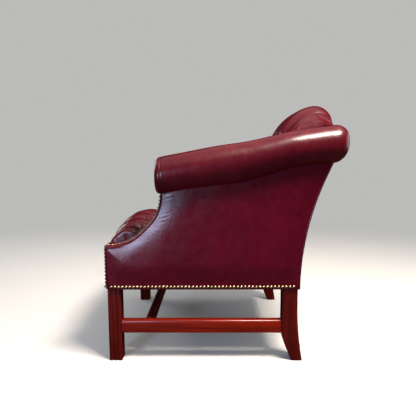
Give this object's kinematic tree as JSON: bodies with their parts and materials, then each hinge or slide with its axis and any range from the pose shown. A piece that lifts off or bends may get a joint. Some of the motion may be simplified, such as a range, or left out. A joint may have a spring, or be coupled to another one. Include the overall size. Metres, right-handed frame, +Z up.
{
  "type": "leather club chair",
  "caption": "Upholstered leather club chair with sloping rolled arms, button-tufted seat and humped back, nail trim and a mahogany base with reeded front legs and stretchers.",
  "frame": {"origin": "on the floor, midway between the front-most and rear-most and between the side-most points", "axes": "+X to the sitter's left, +Y to the rear, +Z up"},
  "size_m": [0.78, 0.8232, 0.8929],
  "materials": {
    "leather": "polished",
    "welt_leather": "polished",
    "button_leather": "polished",
    "mahogany": "lacquered",
    "frame_wood": "sawn",
    "padding": "soft",
    "nail_brass": "antiqued",
    "steel": "plain",
    "lining_cloth": "woven"
  },
  "bodies": {
    "root": {"arm_cover_left": "leather", "arm_cover_right": "leather", "arm_facing_left": "leather", "arm_facing_right": "leather", "arm_pad_left": "padding", "arm_pad_right": "padding", "arm_post_left": "frame_wood", "arm_post_right": "frame_wood", "arm_rail_left": "frame_wood", "arm_rail_right": "frame_wood", "arm_tack_rail_left": "frame_wood", "arm_tack_rail_right": "frame_wood", "back_batting": "padding", "back_buttons": "button_leather", "back_cover": "leather", "back_nails": "nail_brass", "back_pad": "padding", "back_webbing": "lining_cloth", "back_welt_left": "welt_leather", "back_welt_right": "welt_leather", "corner_block_screws": "steel", "corner_blocks": "frame_wood", "crest_rail": "frame_wood", "cross_stretcher": "mahogany", "dust_cover": "lining_cloth", "facing_batting_left": "padding", "facing_batting_right": "padding", "facing_nails_left": "nail_brass", "facing_nails_right": "nail_brass", "frame_dowels": "frame_wood", "front_leg_left": "mahogany", "front_leg_right": "mahogany", "front_nails": "nail_brass", "front_seat_rail": "frame_wood", "lower_back_rail": "frame_wood", "outside_arm_left": "leather", "outside_arm_right": "leather", "outside_back": "leather", "rear_leg_left": "mahogany", "rear_leg_right": "mahogany", "rear_seat_rail": "frame_wood", "scroll_board_left": "frame_wood", "scroll_board_right": "frame_wood", "seat_burlap": "lining_cloth", "seat_buttons": "button_leather", "seat_cover": "leather", "seat_pad": "padding", "seat_springs": "steel", "side_batting_left": "padding", "side_batting_right": "padding", "side_nails_left": "nail_brass", "side_nails_right": "nail_brass", "side_seat_rail_left": "frame_wood", "side_seat_rail_right": "frame_wood", "side_stretcher_left": "mahogany", "side_stretcher_right": "mahogany", "spring_clips": "steel"}
  },
  "joints": []
}
